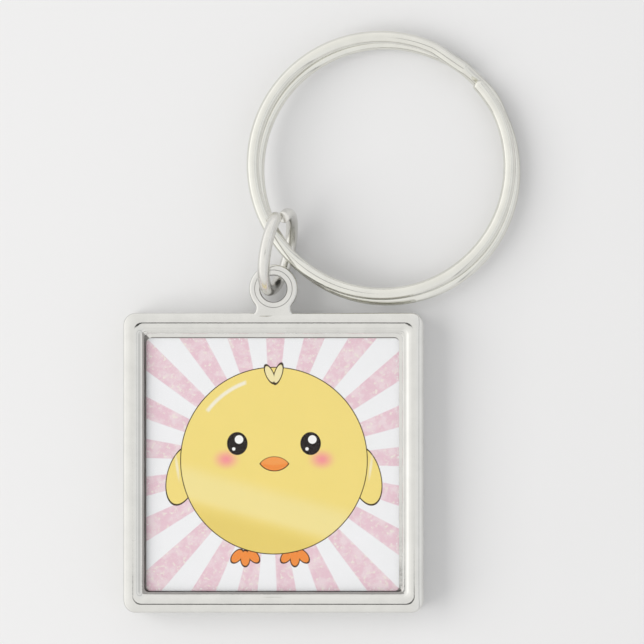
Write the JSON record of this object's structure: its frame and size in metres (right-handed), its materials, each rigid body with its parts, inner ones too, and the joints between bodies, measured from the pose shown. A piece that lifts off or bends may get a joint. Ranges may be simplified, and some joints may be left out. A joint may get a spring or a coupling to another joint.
{
  "type": "square photo keychain",
  "caption": "Square metal photo keychain: a cast frame with a glossy printed insert, hung by an eye and a round wire link on a two-turn split ring.",
  "frame": {"origin": "centre of the frame's flat back face, which rests on the table", "axes": "+Z out of the printed face, +Y towards the eye and the ring, +X to the right as the picture is seen"},
  "size_m": [0.0465, 0.068, 0.0102],
  "materials": {
    "cast_metal": "polished silver-coloured plating on a zinc casting",
    "adhesive": "double-sided adhesive film, hidden",
    "white_plate": "white plate, its cut edge just visible",
    "print": "full-colour print of a round chick on a rayed pink and white ground",
    "clear_gloss": "clear, high gloss",
    "link_metal": "polished round wire",
    "ring_metal": "polished flattened spring wire"
  },
  "bodies": {
    "charm": {"frame": "cast_metal", "adhesive_pad": "adhesive", "insert_plate": "white_plate", "printed_sheet": "print", "clear_cover": "clear_gloss"},
    "link": {"jump_ring": "link_metal"},
    "ring": {"split_ring": "ring_metal"}
  },
  "joints": [
    {"name": "link_swing", "type": "hinge", "parent": "charm", "child": "link", "pos_m": [0, 0.0203, 0.0036], "axis": [0, 0, 1], "range_deg": [0, 75]},
    {"name": "ring_tip", "type": "hinge", "parent": "link", "child": "ring", "pos_m": [0.00102, 0.02528, 0.0037], "axis": [0.9781, -0.2079, 0], "range_deg": [-90, 130]}
  ]
}
